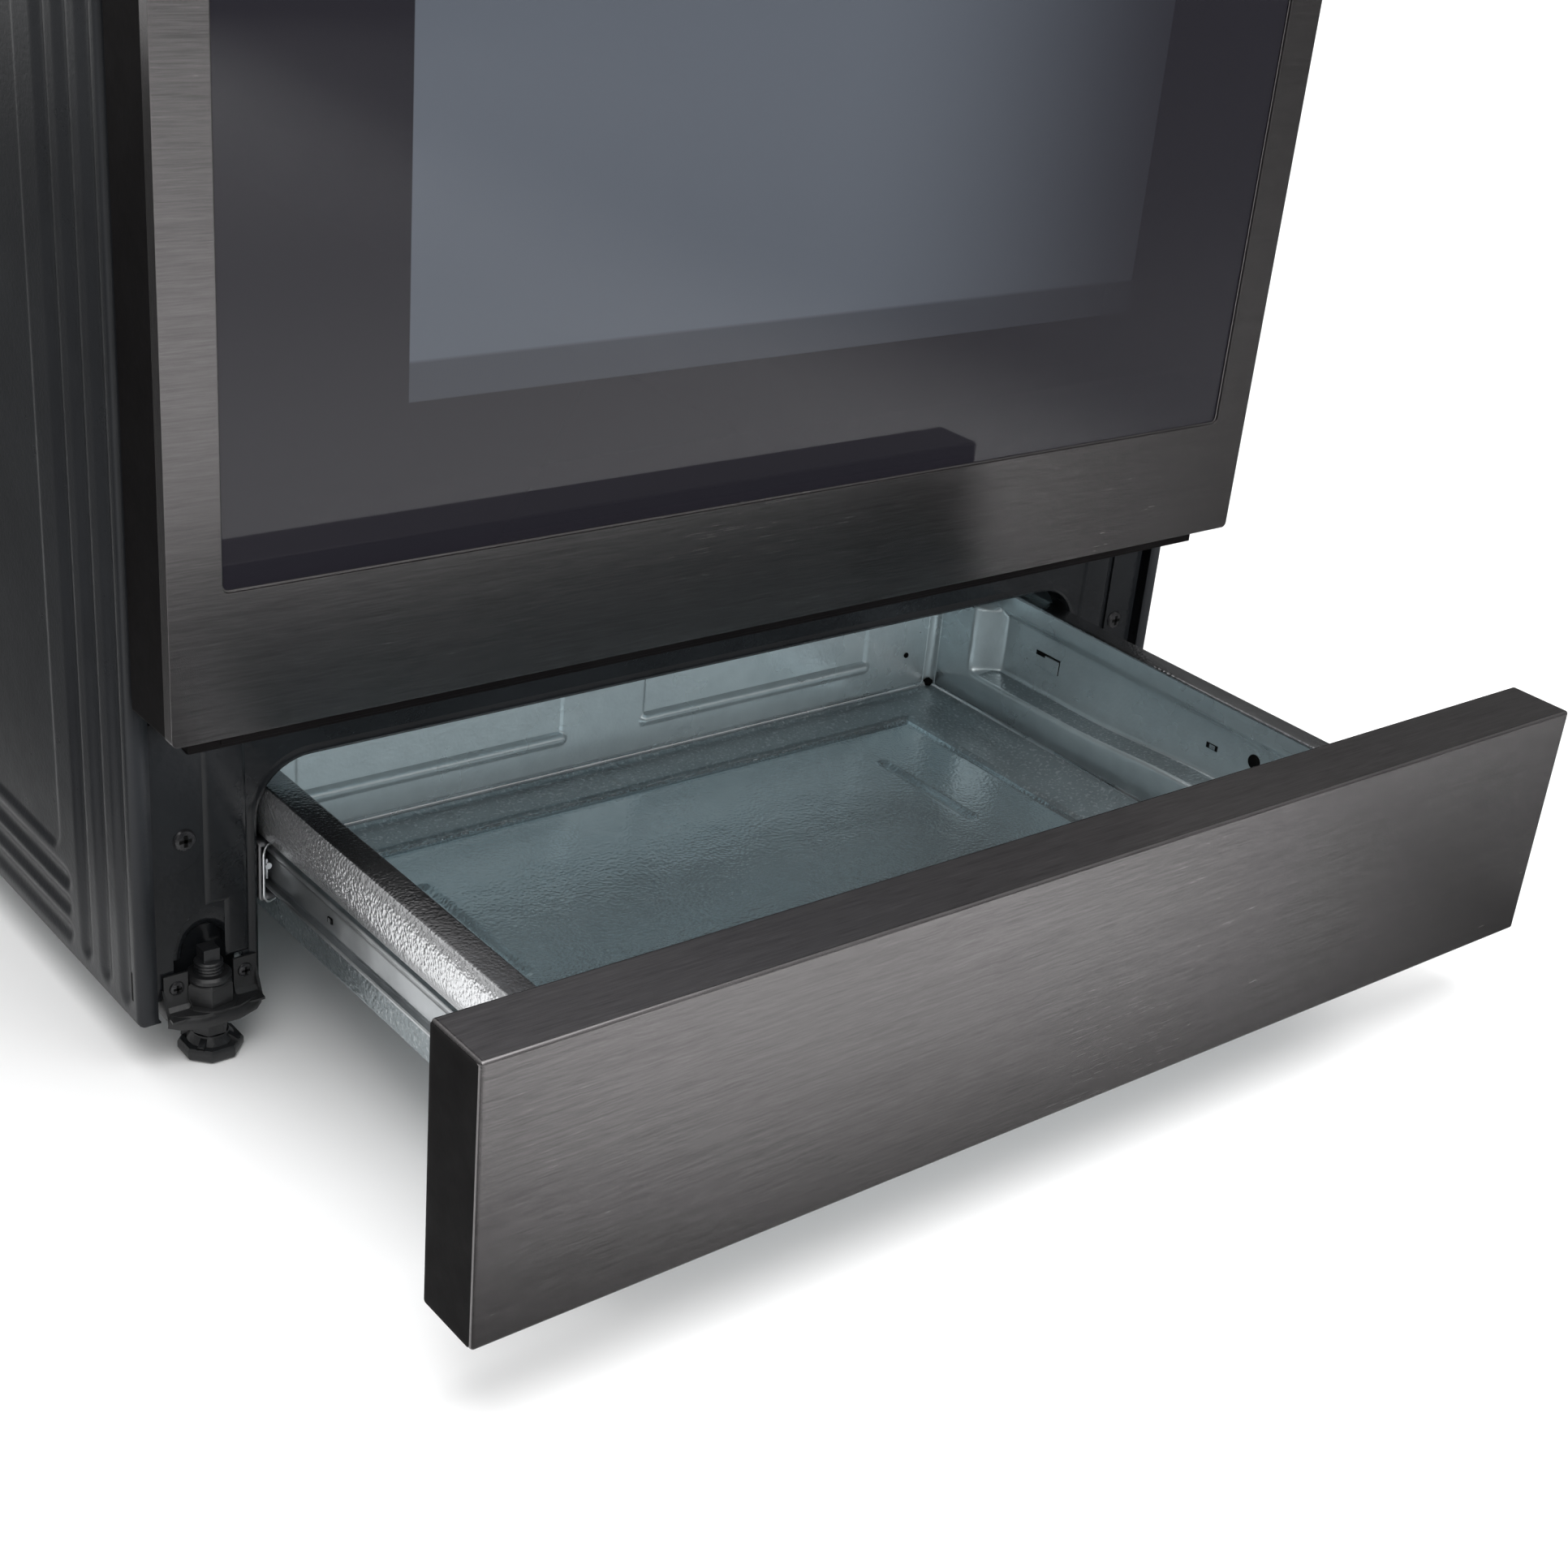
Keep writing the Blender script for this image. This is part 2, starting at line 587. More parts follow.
def side_panel(side):
    """Folded sheet with three upright and three level pressed grooves and a pressed field."""
    bottom, top = 31.0, 882.0
    front = 52.4
    depth, half_width = 2.3, 8.6

    def groove(d):
        return depth * (0.5 + 0.5 * math.cos(math.pi * min(abs(d) / half_width, 1))) ** 0.8

    def pressed(y, z):
        d = 0.0
        for gy, foot in ((118, 39), (92.5, 38), (67, 37)):
            away = y - gy if z > foot + 8 else math.hypot(y - gy, z - foot - 8)
            if z < 850:
                d = max(d, groove(away))
        for gz in (79, 62.5, 46):
            away = z - gz if y > 143 else math.hypot(y - 143, z - gz)
            if y < 660:
                d = max(d, groove(away) * 0.95)
        inside = min(y - 147, z - 91, 622 - y, 842 - z)
        corner = math.hypot(max(161 - y, 0), max(105 - z, 0))
        if y < 161 and z < 105:
            inside = min(inside, 14 - corner)
        return max(d, 1.5 * smooth(inside / 5))

    cols = [(front, 10.5), (front, 3.0), (front + 0.4, 1.4), (front + 1.2, 0.5), (front + 2.6, 0)]
    cols += [(y, 0) for y in spread(56, 160, 1.75) + spread(170, 610, 55) + spread(614, 668, 4)]
    cols += [(DEPTH - 0.6, 0.5), (DEPTH, 1.6), (DEPTH, 16)]
    rows = [(bottom, 12.0), (bottom, 2.2), (bottom + 0.5, 0.9), (bottom + 1.8, 0)]
    rows += [(z, 0) for z in spread(34, 108, 1.75) + spread(130, 820, 69) + spread(826, top, 4)]
    bm = bmesh.new()
    add_grid(bm, [[(side * (HALF_W - max(a, b) - (pressed(y, z) if max(a, b) == 0 else 0)), y, z)
                   for y, a in cols] for z, b in rows])
    add_plate(bm, [(56, 45), (60, 45), (60, 62), (56, 62)], [], side * (HALF_W - 0.6), side * 0.75,
              "yz", 1)
    name = "right" if side > 0 else "left"
    make_piece("casing_side_" + name, bm, ["charcoal", "hole"], "range_body",
               ["side_panel_" + name], solidify=0.9)


def front_frame():
    """Enamelled front with a rolled lip round the drawer bay, overlap plates and post creases."""
    y, t, post, foot, top = 60.0, 1.2, 366.0, 39.0, 764.0
    bay, bay_top, r, pocket_z = 305.0, 167.6, 32.0, 62.0
    bm = bmesh.new()

    def bay_path(grow):
        points = [(-bay - grow, foot)]
        for cx, start in ((-bay + r, 180), (bay - r, 90)):
            for a in sweep(start, start - 90, 12):
                a = math.radians(a)
                points.append((cx + (r + grow) * math.cos(a),
                               bay_top - r + (r + grow) * math.sin(a)))
        return points + [(bay + grow, foot)]

    def notch(side):
        arc = [(side * (LEG_X - 20 * math.cos(a)), pocket_z + 28 * math.sin(a))
               for a in sweep(0, math.pi, 16)]
        return [(side * (LEG_X - 20), foot), *arc, (side * (LEG_X + 20), foot)]

    outer = [(-post, foot), *reversed(notch(-1)), *bay_path(6), *notch(1), (post, foot),
             (post, top), (-post, top)]
    mouth = rounded_rect(-305, 252, 305, 712, 18)
    add_plate(bm, outer, [mouth], y, t)
    # rolled lip round the bay
    half_turn = sweep(0, math.pi, 24)
    lip = [(6.0, y), (4.2, y - 0.9), (2.4, y - 1.3), (0.9, y - 0.7), (0.15, y + 0.8), (0, y + 3),
           (0, y + 16)]
    add_grid(bm, [[(px, ly, pz) for px, pz in bay_path(g)] for g, ly in lip])
    for side in SIDES:
        # outer fold, dished pocket over the leg and the creased strip beside the bay
        add_grid(bm, [[(side * x, fy, z) for z in (foot, 200, top)] for x, fy in
                      ((post - 3, y), (post - 0.8, y + 0.5), (post, y + 2.2), (post, y + 22))])
        for right, low, high in ((336, 91.5, 190), (325, 57, 94)):
            crease = [(311.5, 0.0), (312.6, 0.9), (314, 1.1), (right - 3, 1.1), (right - 1.3, 0.9),
                      (right, 0.0)]
            rise = ((low, 0.0), (low + 1.5, 0.9), (low + 2.5, 1.0), (high, 1.0))
            add_grid(bm, [[(side * x, y - 0.05 - k * f, z) for x, k in crease] for z, f in rise])
        dish = []
        for a in sweep(0, math.pi / 2, 8):
            s, d = 1 - math.cos(a), math.sin(a)
            dish.append([(side * (LEG_X - (12 + 8 * s) * math.cos(b)), y + 10 * (1 - d),
                          pocket_z + (13 + 15 * s) * math.sin(b)) for b in half_turn])
        add_grid(bm, dish)
        # closed behind the leg
        add_grid(bm, [[(side * (LEG_X + q * math.cos(b)), y + 10,
                        pocket_z + q * 13 / 12 * math.sin(b)) for b in half_turn]
                      for q in (12.5, 0.1)])
        add_box(bm, (side * LEG_X - 20, y + 10, foot), (side * LEG_X + 20, y + 11, 62.5))
    make_piece("casing_front", bm, ["enamel"], "range_body", ["front_frame"],
               bevel=0.5, segments=2)
    # rounded overlap plates, each held by one truss-head screw
    bm = bmesh.new()
    for side in SIDES:
        tab = [(338.5, 205), (338.5, 128)]
        tab += [(351.5 - 13 * math.cos(a), 129 - 13 * math.sin(a))
                for a in sweep(0, math.pi / 2, 8)]
        tab += [(365.6, 116), (365.6, 205)]
        add_plate(bm, [(side * x, z) for x, z in tab], [], y - 1.8, 1.7)
    make_piece("casing_overlap_plates", bm, ["enamel"], "range_body",
               bevel=0.5, segments=2)


def frame_screws():
    bm = bmesh.new()
    for side in SIDES:
        add_screw(bm, side * 347.6, 58.7, 135, 6.3, 2.6, 0, -1, 1)
        for x in (314.8, 354.6):
            add_screw(bm, side * x, 58.6, 46, 4.4, 2.2, 0, -1, 1)
            add_screw(bm, side * x, 613.3, 46, 4.4, 2.2, 0, 1, 1)
    make_piece("casing_screws", bm, ["fastener", "hole"], "range_body",
               ["frame_screws"])
    bm = bmesh.new()
    for side in SIDES:
        add_lathe(bm, [(3.6, 0), (3.6, 1.2), (2.6, 2.4), (0, 2.8)], (side * 306.4, 66, 52), "x", 16)
    make_piece("bay_side_bolts", bm, ["zinc"], "range_body")


def leg_bracket(bm, side, back):
    """Plate with folded edge and ears, and the nut that the leg turns in."""
    def placed(points):
        return [(side * x, DEPTH - y if back else y, *z) for x, y, *z in points]

    outline = [(308, 84), (308, 55), (313, 50), (325, 45.5), (345, 45.5), (357, 50), (362, 55),
               (362, 84)]
    leg_y = 60.0
    ring = [(LEG_X + 8.2 * math.cos(i * math.tau / 24), leg_y + 8.2 * math.sin(i * math.tau / 24))
            for i in range(24)]
    add_plate(bm, placed(outline), [placed(ring)], 30, 2.4, "xy")
    add_grid(bm, [placed([(x, y + out, z) for x, y in outline[1:-1]])
                  for z, out in ((31.2, 0), (29.6, -1.2), (27.2, -1.6), (25.2, -1.2))])
    for x0, x1 in ((308, 321.5), (348, 362)):
        add_grid(bm, [placed([(x0, y, z), (x1, y, z)]) for y, z in
                      ((47.5, 31), (55, 32.5), (57.6, 35), (58.6, 39), (58.6, 53), (58.6, 54.5))])
        add_grid(bm, [placed([(x, y, z) for y, z in ((50, 31), (58.8, 40), (58.8, 31))])
                      for x in (x0, x0 + 0.2)])
    for x in (308, 362):
        add_grid(bm, [placed([(x, 52, 31), (x, 84, 31)]), placed([(x, 58.5, 46), (x, 72, 42)])])
    nut = placed([(LEG_X, leg_y, 0)])[0]
    for profile, steps, turn in (
            ([(8.2, 46), (11.6, 46), (13, 45), (13, 33.4), (12.2, 32.4)], 6, 0.2),
            ([(14, 33), (15.2, 32.6), (15.4, 32.3)], 32, 0),
            ([(8.1, 50), (10.6, 50), (11.6, 49), (11.6, 47.6), (10.4, 46.8), (10.0, 45)], 32, 0)):
        add_lathe(bm, profile, nut, "z", steps, 0, turn)


def leg_brackets():
    bm = bmesh.new()
    for side in SIDES:
        for back in (False, True):
            leg_bracket(bm, side, back)
    make_piece("leg_holders", bm, ["black"], "range_body", ["leg_brackets"],
               solidify=1.6, bevel=0.4, segments=2)


def leg(corner, x, y):
    """Levelling leg: ribbed eight-sided foot, hexagon, threaded stem and square end."""
    bm = bmesh.new()
    eighth = math.pi / 8
    add_lathe(bm, [(14.4, 0), (16.9, 1.0), (17.8, 2.6), (17.8, 6.2), (16.6, 8.0), (13.6, 8.6),
                   (12.4, 7.4), (11.8, 7.4)], (x, y, 0), "z", 8, 0, eighth)
    add_lathe(bm, [(13.2, 7.2), (12.6, 9.6), (10.2, 12.6), (10.0, 13.4)], (x, y, 0), "z", 32)
    for i in range(4):
        a = i * math.pi / 2 + eighth * 2
        c, s = math.cos(a), math.sin(a)
        rows = []
        for r, low, high in ((8, 8, 13.2), (12.5, 8, 11.6), (16.2, 7.6, 9.4)):
            rows.append([(x + r * c - w * s, y + r * s + w * c, z) for w, z in
                         ((-2.2, low), (-1.8, high), (1.8, high), (2.2, low))])
        add_grid(bm, rows)
    add_lathe(bm, [(9.3, 13), (10.4, 13.8), (10.4, 22.6), (9.4, 23.4), (8, 23.5)], (x, y, 0),
              "z", 6)
    thread = [(7.0, 23.2)]
    for i in range(17):
        z = 24 + i * 2
        thread += [(7.0, z), (7.9, z + 0.7), (7.9, z + 1.1), (7.0, z + 1.8)]
    add_lathe(bm, thread + [(7.2, 58), (5.6, 58.4)], (x, y, 0), "z", 28)
    add_box(bm, (x - 4.6, y - 4.6, 58), (x + 4.6, y + 4.6, 65.8))
    make_piece("foot_" + corner, bm, ["plastic"], corner + "_leg",
               ["leg_" + corner], bevel=0.5, segments=2)


# ---------- drawer and slides ----------

def rails(name, node_name, body, y0, y1, section, mat, slots=()):
    """A pair of rails with the (x, z) section, and punched (y, z, width, height, x) slots."""
    bm = bmesh.new()
    line = round_line([(a, 0, b) for a, b in section], 0.7, 3)
    for side in SIDES:
        add_grid(bm, [[(side * p[0], y, p[2]) for p in line] for y in spread(y0, y1, 30)])
        for y, z, w, h, x in slots:
            add_box(bm, (side * x - 0.3, y - w / 2, z - h / 2),
                    (side * x + 0.3, y + w / 2, z + h / 2), 1)
            add_box(bm, (side * x - 0.6, y - w * 0.25, z - h * 0.3),
                    (side * x + 0.6, y + w * 0.2, z + h * 0.45))
    make_piece(name, bm, [mat, "hole"], body, [node_name], solidify=0.9)


def slides():
    rails("drawer_slide_fixed", "cabinet_rails", "range_body", 58.5, 438,
          [(294.4, 88.4), (294.4, 86.5), (304, 86.5), (304, 119.5), (294.4, 119.5),
           (294.4, 117.6)], "rail_dark")
    rails("drawer_slide_cage", "ball_cages", "slide_cages", 64, 264,
          [(296.2, 88.3), (301.2, 88.3), (301.2, 117.7), (296.2, 117.7)], "rail_dark")
    rails("drawer_slide_inner", "drawer_rails", "drawer", -243.5, 135,
          [(297.6, 92.6), (297.6, 90), (292.2, 90), (291.8, 94.2), (295, 95.6), (295, 109.4),
           (291.8, 110.8), (292.2, 116), (297.6, 116), (297.6, 113.6)],
          "rail", ((-160, 103.5, 9, 4, 295.8), (-4, 103, 4, 2.4, 295.8)))
    # bright end clips and rivets of the fixed rails
    bm = bmesh.new()
    for side in SIDES:
        route = [(side * x, y, z) for x, y, z in round_line(
            [(295, 58, 121.6), (301.4, 55.5, 121.8), (304.3, 54.5, 118), (304.3, 54.5, 90),
             (301.6, 55.5, 86), (296, 58, 86.2)], 2.4, 4)]
        add_tube(bm, route, 0.6, 8)
        add_lathe(bm, [(1.9, 0), (1.9, 1.2), (1.2, 2.0), (0, 2.2)], (side * 300.6, 56, 108),
                  "y", 12)
        add_box(bm, (side * 301.2 - 0.5, 57, 100), (side * 301.2 + 0.5, 58.6, 112))
    make_piece("drawer_slide_clips", bm, ["zinc"], "range_body")


def wall_profile(y):
    """Section of the drawer's side at y: lower wall, ledge, recessed wall, rim and skirt."""
    w = smooth((y - 100) / 13)
    ledge = 89.5 + 5.5 * smooth((17 - y) / 118)

    def between(a, b):
        return tuple(p + (q - p) * w for p, q in zip(a, b))

    corners = [(265, 66), between((265, ledge - 0.5), (265, 89)),
               between((287.6, ledge), (265, 96)), between((288.2, 132), (265, 138)),
               between((283.6, 137), (283, 138.6)), (281.4, 151.5), (297, 151.0), (299.2, 147)]
    out = [corners[0]]
    for i, r in enumerate((2.6, 3.4, 2, 2, 1.6, 0.9)):
        out += round_corner(*corners[i:i + 3], r, 4, False)
    return out + [corners[7], (299.7, 143), (299.8, 138), (299.8, 130), (299.6, 122.5)]


def floor_height(x, y):
    """The drawer's floor: a sunken field, a border that rises to the walls and two dents."""
    across, rear = 265 - abs(x), 150.8 - y
    border = 62 + 4 * max(smooth((20 - across) / 20) ** 0.8, smooth((5.8 - rear) / 5.8))
    step = max(smooth((abs(x) - 213.5) / 6), smooth((y - 113.5) / 6), smooth((-209 - y) / 6))
    z = 58 + (border - 58) * step
    for gx, y0, y1 in ((-194.5, -37, 71), (159, -15, 73)):
        away = math.hypot(x - gx, y - min(max(y, y0), y1))
        z -= 2.4 * (0.5 + 0.5 * math.cos(math.pi * min(away / 5.5, 1)))
    return z


def drawer_box():
    looks = {"galvanised": 0, "floor_zinc": 1, "leather_zinc": 2, "speckle_zinc": 3, "hole": 4,
             "zinc": 5, "rim_zinc": 6}
    sheet, field, skirt, speckle, hole, bright, rim = looks.values()
    y0, y1 = -244.0, 150.8
    bm = bmesh.new()
    # floor with its border and two short beads
    xs = [-265, -262, -258, -254, -249, -244, -238, -230, -222] + spread(-220, -212, 1.3) + \
        spread(-206, -184, 1.4) + spread(-170, 140, 14) + spread(150, 168, 1.4) + [184, 200] + \
        spread(212, 220, 1.3) + [222, 230, 238, 244, 249, 254, 258, 262, 265]
    ys = [y0, -232, -222] + spread(-216, -208, 1.4) + [-195, -160, -120, -80, -60] + \
        spread(-46, -8, 1.8) + [8, 26, 44, 58] + spread(64, 82, 1.5) + [96, 106] + \
        spread(112, 121, 1.3) + [130, 140, 144.5] + spread(145.5, y1, 1.2)

    def floor_material(i, j):
        x, y = (xs[j] + xs[j + 1]) / 2, (ys[i] + ys[i + 1]) / 2
        return speckle if abs(x) > 217 or y > 117 else field

    add_grid(bm, [[(x, y, floor_height(x, y)) for x in xs] for y in ys], mat_of=floor_material)
    # side walls: the columns of the profile are wall, ledge, wall, rim and skirt
    stations = spread(y0, 96, 12) + spread(98, 116, 1.5) + spread(122, 152, 6)

    def wall_material(i, j):
        if j >= 29:
            return skirt
        if j >= 21:
            return rim
        return speckle if 5 <= j <= 6 and stations[i] < 104 else sheet

    for side in SIDES:
        add_grid(bm, [[(side * x, y, z) for x, z in wall_profile(y)] for y in stations],
                 mat_of=wall_material)
        # outer plate behind the slide
        plate = round_line([(266, 0, 64.6), (290.4, 0, 64.6), (290.4, 0, 122), (295, 0, 123)], 2, 3)
        add_grid(bm, [[(side * p[0], y, p[2]) for p in plate] for y in spread(y0, 152, 40)],
                 speckle)
        # upright corner fillet and shoulder end
        add_grid(bm, [[(side * (258 + 7 * math.sin(a)), 143.8 + 7 * math.cos(a), z)
                       for a in sweep(0, math.pi / 2, 8)]
                      for z in (64, 68, 80, 100, 120, 138.4)])
    # rear wall: two embossed panels over level beads
    panels = ((-236.0, -49.0), (12.0, 202.5))

    def rear(x, z):
        d = 0.0
        for a, b in panels:
            inside = min(x - a, b - x, z - 92)
            d += 1.7 * smooth(inside / 2.2)
            away = math.hypot(x - min(max(x, a + 2), b - 2), z - 89.5)
            d -= 3.2 * (0.5 + 0.5 * math.cos(math.pi * min(away / 4.6, 1))) ** 0.7
        return 150.8 + d + 1.5 * smooth((z - 146) / 5)

    cols = [-285.4, -270, -255]
    for a, b in panels:
        cols += spread(a - 5, a + 6, 1.1) + spread(a + 16, b - 16, 18) + spread(b - 6, b + 6, 1.1)
    cols += [222, 240, 255, 270, 285.4]
    levels = [65.9, 70, 78] + spread(82, 97, 1.0) + [104, 116, 130, 142] + spread(145, 151.5, 1.3)
    add_grid(bm, [[(x, rear(x, z), z) for x in cols] for z in levels])
    add_grid(bm, [[(x, y, z) for x in (-298, 0, 298)] for y, z in
                  ((152.2, 151.5), (153.0, 151.2), (153.3, 150), (153.3, 124))])
    # front wall behind the drawer front
    add_grid(bm, [[(x, y0 + 0.8, z) for x in (-291, -265, 0, 265, 291)] for z in (64, 100, 151.5)])
    # rolled crease where the walls meet the floor
    route = [(-264.2, y0, 66)] + [(-264.2, y, 66) for y in (-100, 0, 140)]
    corner = [(-258 + 6.2 * math.cos(a), 143.8 + 6.2 * math.sin(a), 66)
              for a in sweep(math.pi, math.pi / 2, 5)]
    half = route + corner
    add_tube(bm, half + [(-x, y, z) for x, y, z in reversed(half)], 1.9, 8, bright)
    for side in SIDES:
        # punched slot with its tab, small slot, round hole and corner hole
        x = side * 288.2
        add_box(bm, (x - 0.7, 47, 108), (x + 0.7, 70, 118.6), hole)
        add_box(bm, (x - 1.9 * side, 47.6, 108.4), (x - 0.6 * side, 60, 117.6), sheet)
        add_box(bm, (x - 1.2 * side, 61.2, 108.4), (x - 0.6 * side, 69.6, 115.6), sheet)
        add_box(bm, (x - 0.8, -101, 114), (x + 0.8, -92, 117.2), hole)
        add_box(bm, (x - 1.3 * side, -99.5, 114.6), (x - 0.6 * side, -95, 117), bright)
        add_lathe(bm, [(4.6, -0.8), (4.6, 0.8)], (x, -132, 120), "x", 20, hole)
        add_lathe(bm, [(1.5, -1), (1.5, 0.2)], (side * 239.4, 150.6, 92), "y", 12, hole)
        add_lathe(bm, [(0.2, -3.6), (3, -2.2), (3.6, 0), (3, 2.2), (0.2, 3.6)],
                  (side * 262.6, 148.6, 67), "z", 16, hole)
    make_piece("drawer_tub", bm, list(looks), "drawer", ["drawer_box"],
               solidify=0.9, angle=50, merge=False)


def drawer_front():
    x, y0, y1, z0, z1 = HALF_W, -286.0, -244.9, 50.4, 201.0
    bm = bmesh.new()
    add_box(bm, (-x, y0, z0), (x, y1, z1), 0, {"-x": 2, "+x": 2, "+z": 1, "+y": 3, "-z": 3})
    make_piece("drawer_face", bm, ["steel", "steel_top", "side_black", "black"], "drawer",
               ["drawer_front"], bevel=2.0, segments=5, bevel_material=0)
    # black end caps let into the folded ends, and the pressed plate at the back
    bm = bmesh.new()
    for side in SIDES:
        add_plate(bm, rounded_rect(y0 + 2.4, z0 + 0.6, y1 - 0.4, z1 - 1.4, 1.6, 4), [],
                  side * (x - 0.6), side * 0.6, "yz")
    add_plate(bm, rounded_rect(-x + 9, z0 + 9, x - 9, z1 - 9, 8),
              [rounded_rect(-70, 168, 70, 188, 9)], y1 - 0.3, 1.2)
    make_piece("drawer_face_ends", bm, ["side_black"], "drawer", bevel=0.4,
               segments=2)
    bm = bmesh.new()
    for side in SIDES:
        for px, pz in ((330, 70), (330, 182), (150, 182)):
            add_screw(bm, side * px, y1 + 0.9, pz, 4.6, 2.2, 0, 1, 1)
    make_piece("drawer_face_screws", bm, ["fastener", "hole"], "drawer")


# ---------- oven door ----------

def door_parts():
    bottom, top = 219.6, 753.0
    gx, gz0, gz1 = GLASS[1].x * 1000 - 6, 295.5, 676.0
    bm = bmesh.new()
    add_plate(bm, rounded_rect(-HALF_W, bottom, HALF_W, top, 3.5, 5),
              [rounded_rect(-gx, gz0, gx, gz1, 4.5)], 0, 8)
    make_piece("door_face", bm, ["steel"], "oven_door", ["door_skin"],
               bevel=1.6, segments=4)
    bm = bmesh.new()
    add_box(bm, (-gx - 5, 2.2, gz0 - 5), (gx + 5, 6.8, gz1 + 5))
    make_piece("door_pane", bm, ["glass"], "oven_door", ["door_glass"], bevel=0.6,
               segments=2)
    # bright inner lip between the steel and the glass
    bm = bmesh.new()
    outer = rounded_rect(-gx, gz0, gx, gz1, 4.5)
    inner = rounded_rect(-gx + 1, gz0 + 1, gx - 1, gz1 - 1, 3.6)
    add_grid(bm, [[(px, y, pz) for px, pz in loop] for loop, y in
                  ((outer, 0.9), (inner, 1.5), (inner, 2.6))], close=True)
    make_piece("door_pane_lip", bm, ["steel"], "oven_door", solidify=0.3)


def door_channel():
    """Black end faces of the door with the stepped channel under its lower edge."""
    near, far, slot_y = 323, 337, 17.0
    outer = rounded_rect(-HALF_W + 0.5, 220, HALF_W - 0.5, 752.4, 3)
    inner = rounded_rect(-HALF_W + 4, 223, HALF_W - 4, 749, 2)
    corner = len(outer) * 3 // 4
    bm = bmesh.new()
    add_plate(bm, outer, [inner], 8.1, slot_y - 8.1)
    # behind the slot line the lower edge is left open for the fixed hinge arms
    around = outer[corner:] + outer[:corner]
    back = (inner[corner:] + inner[:corner])[::-1]
    add_plate(bm, [(far, 220), *around, (-far, 220), (-far, 223), *back, (far, 223)], [],
              slot_y, 46.7 - slot_y)
    add_box(bm, (-near, slot_y, 220), (near, 46.7, 223))
    for x0, x1 in ((-363, -far), (-near, near), (far, 363)):
        add_box(bm, (x0, slot_y, 206.2), (x1, 30, 221))
    add_box(bm, (-363, 16, 206.2), (363, slot_y, 221))
    add_box(bm, (-346, 14.6, 208.5), (346, 17, 221))
    make_piece("door_case", bm, ["side_black"], "oven_door", ["door_frame"],
               bevel=1.0)


def door_handle():
    bm = bmesh.new()
    body = [(0, -348), (9.6, -348), (11.3, -346.6), (12, -344), (12, -330), (12, 0), (12, 330),
            (12, 344), (11.3, 346.6), (9.6, 348), (0, 348)]
    add_lathe(bm, body, (0, -50, 714), "x", 40)
    for side in SIDES:
        post = [(8.2, -44), (7.4, -36), (7.2, -20), (7.6, -8), (9.6, -2.2), (10.4, 0.2)]
        add_lathe(bm, post, (side * 318, 0, 714), "y", 32)
    make_piece("door_grip", bm, ["steel_top"], "oven_door", ["door_handle"])


# ---------- cooktop, controls and backguard ----------

BURNERS = ((-236, 160, 48), (236, 160, 48), (-236, 455, 35), (236, 455, 35))
DECK = 902.0
MID_Y = 307.5


def stadium(r, half, steps=20):
    """Two half circles, half each side of the middle, joined by straight lines."""
    return [(r * math.cos(math.radians(a)), cy + r * math.sin(math.radians(a)))
            for start, cy in ((0, half), (180, -half)) for a in sweep(start, start + 180, steps)]


def stadium_lathe(bm, profile, half):
    rows = [[(px, MID_Y + py, DECK + h) for px, py in stadium(r, half)] for r, h in profile]
    add_grid(bm, rows, 0, True)
    cap(bm, rows)


def burners():
    bm = bmesh.new()
    for x, y, r in BURNERS:
        head = [(16, -46), (16, -2), (r + 3.8, -0.2), (r + 4, 1.6), (r + 2.6, 3.8), (r - 3, 4.4),
                (r - 4, 5.4), (r - 4, 13.2), (r - 3, 14.6), (r - 12, 15)]
        add_lathe(bm, head, (x, y, DECK), "z", 56)
        ports = int(r * 0.62)
        for k in range(ports):
            c, s = math.cos(k * math.tau / ports), math.sin(k * math.tau / ports)
            slot = ((r - 3.9, 6), (r - 3.4, 6.6), (r - 3.4, 12), (r - 3.9, 12.8))
            add_grid(bm, [[(x + q * c - w * s, y + q * s + w * c, DECK + h) for w in (-0.9, 0.9)]
                          for q, h in slot], 1)
    body = [(16, -46), (16, -2), (30.8, -0.2), (31, 1.6), (29.6, 3.8), (25, 4.4), (24, 5.4),
            (24, 13.2), (25, 14.6), (14, 15)]
    stadium_lathe(bm, body, 62)
    make_piece("burner_bodies", bm, ["aluminium", "hole"], "range_body",
               ["burner_heads"], merge=False)
    bm = bmesh.new()
    for x, y, r in BURNERS:
        lid = [(r - 6, 15.1), (r - 1.4, 15.2), (r, 16.4), (r, 18.8), (r - 1.6, 20.6), (r - 6, 21.8),
               (r * 0.6, 22.4), (r * 0.3, 22.7), (0.2, 22.8)]
        add_lathe(bm, lid, (x, y, DECK), "z", 56)
    lid = [(22, 15.1), (26.6, 15.2), (28, 16.4), (28, 18.8), (26.4, 20.4), (23, 21.4), (12, 21.9),
           (2, 22)]
    stadium_lathe(bm, lid, 62)
    make_piece("burner_lids", bm, ["iron"], "range_body", ["burner_caps"], merge=False)
    # spark electrodes
    bm = bmesh.new()
    for x, y, r in (*BURNERS, (0, MID_Y, 31)):
        ox = x + (r + 7 if x <= 0 else -r - 7)
        add_lathe(bm, [(3, 0.2), (3, 8), (2.4, 9.4), (1, 9.6)], (ox, y, DECK), "z", 16)
        add_lathe(bm, [(0.9, 9), (0.9, 14), (0.3, 14.6)], (ox, y, DECK), "z", 10, 1)
    make_piece("spark_electrodes", bm, ["mark", "zinc"], "range_body")


